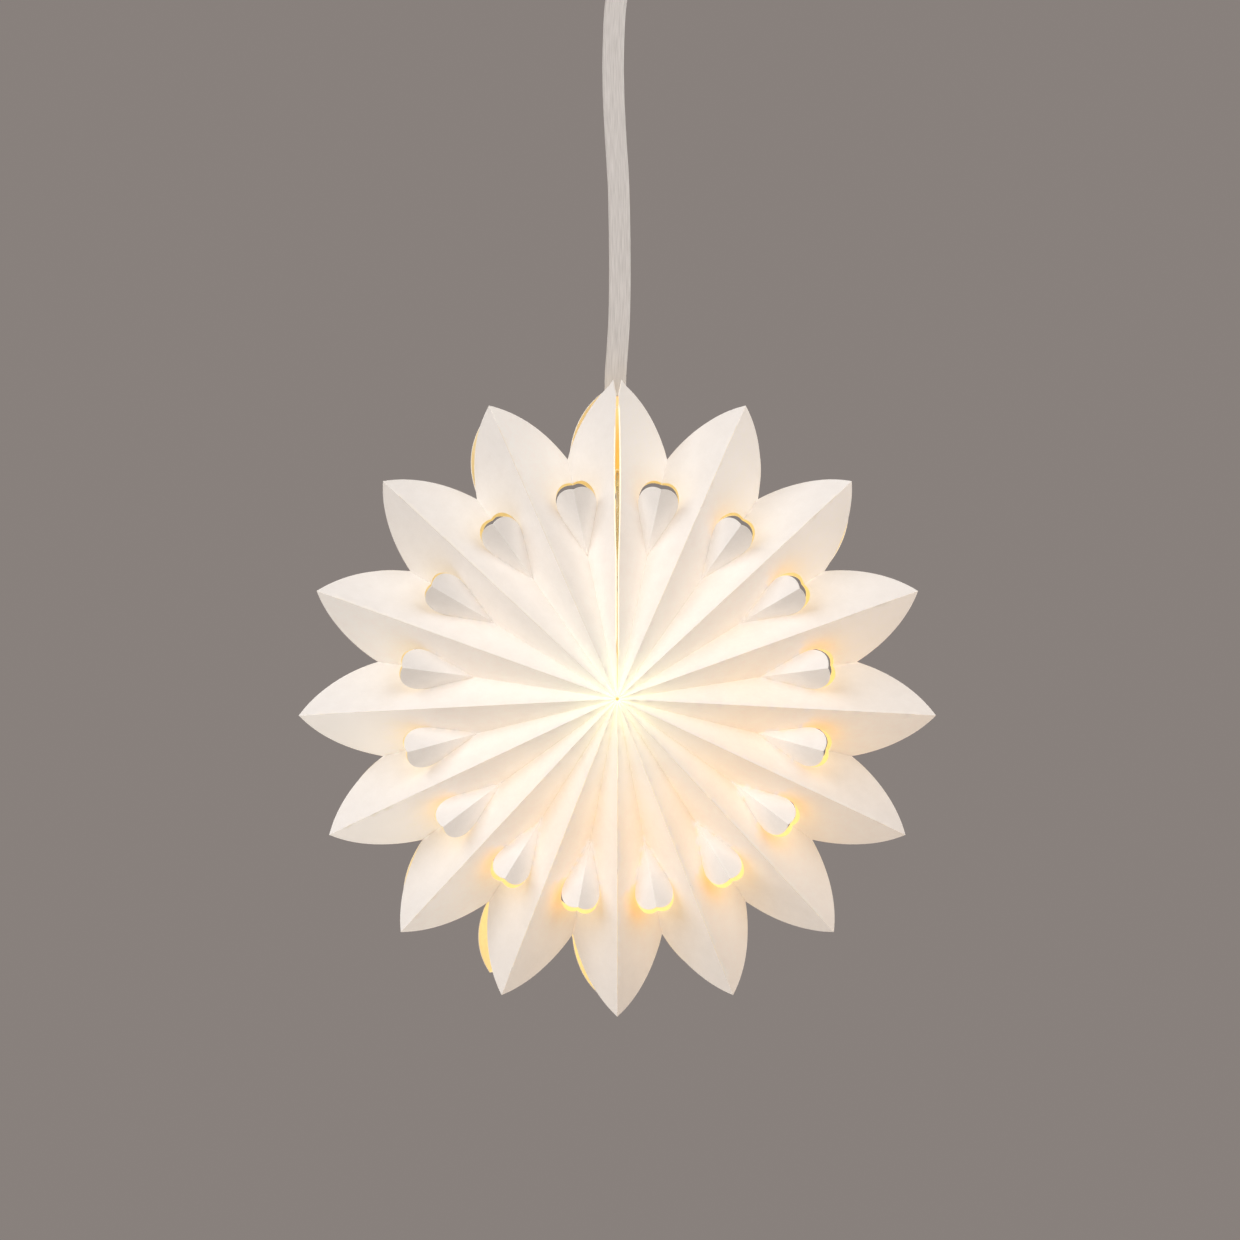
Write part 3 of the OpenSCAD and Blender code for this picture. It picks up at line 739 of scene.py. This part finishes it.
# ---------- the paper star: 14 whole modules each side, and the two split ones beside the seam ----------
for face, side in ((FRONT, "front"), (BACK, "back")):
    for k in range(1, PETALS - 1):
        sheet = Sheet(f"{side}_paper_{k:02d}")
        a, b = Facet(k, k, face), Facet(k, k + 1, face)
        for f, other in ((a, b), (b, a)):
            sheet.facet(f)
            sheet.tongue(f, other)
        if face == BACK:
            sheet.web(k)
        sheet.build(f"{side}_module_{k:02d}", "root")
    for hand, k, seam, inner in (("right", 0, 0, 1), ("left", PETALS - 1, PETALS, PETALS - 1)):
        name = f"{side}_{hand}"
        outer_f, inner_f = Facet(k, seam, face), Facet(k, inner, face)
        fixed = Sheet(name + "_paper_fixed")
        fixed.facet(inner_f)
        if face == BACK:
            fixed.web(k)
        fixed.build(name + "_fixed_panel", "root")
        end = Sheet(name + "_paper_end")
        end.facet(outer_f, seam=True)
        end.build(name + "_end_panel", name + "_panel")
        tin = Sheet(name + "_paper_tongue_inner")
        tin.tongue(inner_f, outer_f)
        tin.build(name + "_tongue_inner", name + "_tongue_in")
        tout = Sheet(name + "_paper_tongue_outer")
        tout.tongue(outer_f, inner_f)
        tout.build(name + "_tongue_outer", name + "_tongue_out")

# ---------- looks of the carried-over CAD nodes ----------
LOOKS = {
    "hanger_card": CARD.mat, "light_hanger": WIRE.mat, "light_case": CASE_MAT,
    "battery_cover": CASE_MAT, "battery_cells": CELL_MAT, "battery_contacts": BRASS.mat,
    "circuit_board": BOARD_MAT, "led": LED.mat, "diffuser_globe": GLOBE.mat,
    "switch_slider": SWITCH_MAT, "front_hook_dot": FUZZ.mat, "front_loop_dot": FUZZ.mat,
    "back_hook_dot": FUZZ.mat, "back_loop_dot": FUZZ.mat}
for name, mat in LOOKS.items():
    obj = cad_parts[name]
    for slot in obj.material_slots:
        slot.material = mat

# ---------- studio ----------
def area(name, place, target, size, energy, colour):
    data = bpy.data.lights.new(name, "AREA")
    data.size = size
    data.energy = energy
    data.color = colour
    obj = bpy.data.objects.new(name, data)
    obj.location = place
    obj.rotation_euler = (Vector(target) - Vector(place)).to_track_quat("-Z", "Y").to_euler()
    scene.collection.objects.link(obj)


CENTRE = (0, 0, STAR_Z * MM)
area("key", (-1.3, -1.2, 0.7), CENTRE, 1.5, 22, (0.98, 0.98, 1.0))
area("fill", (1.1, -1.5, 0.8), CENTRE, 1.5, 18, (1.0, 0.97, 0.95))
area("low", (-0.5, -1.5, -1.1), CENTRE, 1.3, 5, (1.0, 0.90, 0.80))
area("rear", (0.5, 1.5, 0.3), CENTRE, 1.2, 10, (1.0, 0.97, 0.94))

world = bpy.data.worlds.new("world")
scene.world = world
world.use_nodes = True
world.node_tree.nodes["Background"].inputs[0].default_value = (0.33, 0.29, 0.27, 1)
world.node_tree.nodes["Background"].inputs[1].default_value = 0.75

bpy.ops.mesh.primitive_plane_add(size=3.6, location=(0, 0, -1.45))
floor = bpy.context.object
floor.name = "floor"
floor_mat = moulded("floor", (0.78, 0.76, 0.73), 0.8, 200).mat
floor.data.materials.append(floor_mat)
